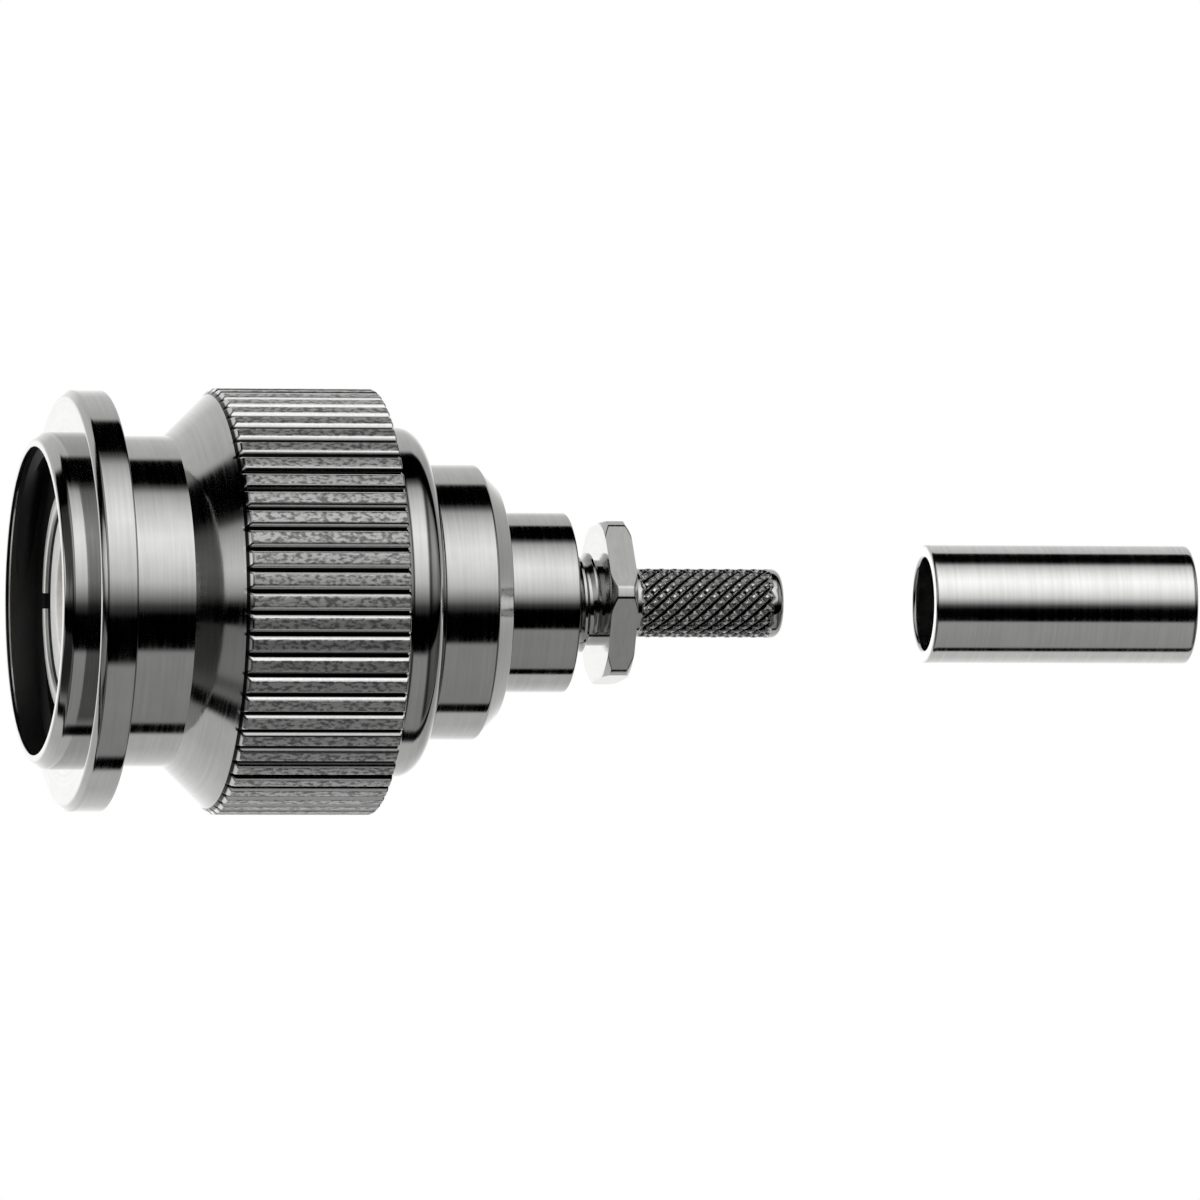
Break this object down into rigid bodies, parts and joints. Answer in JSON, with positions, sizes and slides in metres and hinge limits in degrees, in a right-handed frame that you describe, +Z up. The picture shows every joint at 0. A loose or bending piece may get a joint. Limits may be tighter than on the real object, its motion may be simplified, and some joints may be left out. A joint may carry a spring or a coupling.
{
  "type": "tnc connector",
  "caption": "Straight coaxial cable plug with a threaded coupling nut, slotted outer contact, centre pin, hexagon crimp neck and a separate crimp sleeve.",
  "frame": {"origin": "on the axis, in the plane of the outer contact's front face, which is the mating reference plane", "axes": "+X along the axis from the mating end to the cable end, +Z up, so that the mating half leaves towards -X"},
  "size_m": [0.0418, 0.015, 0.015],
  "materials": {
    "nickel_nut": "bright nickel plate over turned brass",
    "nickel_body": "bright nickel plate over turned brass",
    "nickel_contact": "nickel plate over spring bronze",
    "nickel_neck": "bright nickel plate over turned brass",
    "nickel_sleeve": "bright nickel plate over drawn brass tube",
    "spring_bronze": "plain phosphor bronze",
    "gold_contact": "gold plate over turned brass",
    "white_insulator": "turned fluoropolymer",
    "silicone_seal": "moulded silicone rubber"
  },
  "bodies": {
    "body": {"connector_body": "nickel_body", "outer_contact": "nickel_contact", "face_gasket": "silicone_seal", "front_insulator": "white_insulator", "rear_insulator": "white_insulator", "insulating_washer": "white_insulator", "centre_contact": "gold_contact", "crimp_neck": "nickel_neck"},
    "ring": {"retaining_ring": "spring_bronze"},
    "nut": {"coupling_nut": "nickel_nut"},
    "sleeve": {"crimp_ferrule": "nickel_sleeve"}
  },
  "joints": [
    {"name": "nut_float", "type": "slide", "parent": "body", "child": "ring", "axis": [1, 0, 0], "range_m": [-0.00015, 0.00015]},
    {"name": "nut_spin", "type": "hinge", "parent": "ring", "child": "nut", "pos_m": [0, 0, 0], "axis": [1, 0, 0], "continuous": true},
    {"name": "sleeve_slide", "type": "slide", "parent": "body", "child": "sleeve", "axis": [1, 0, 0], "range_m": [-0.0108, 0]}
  ]
}
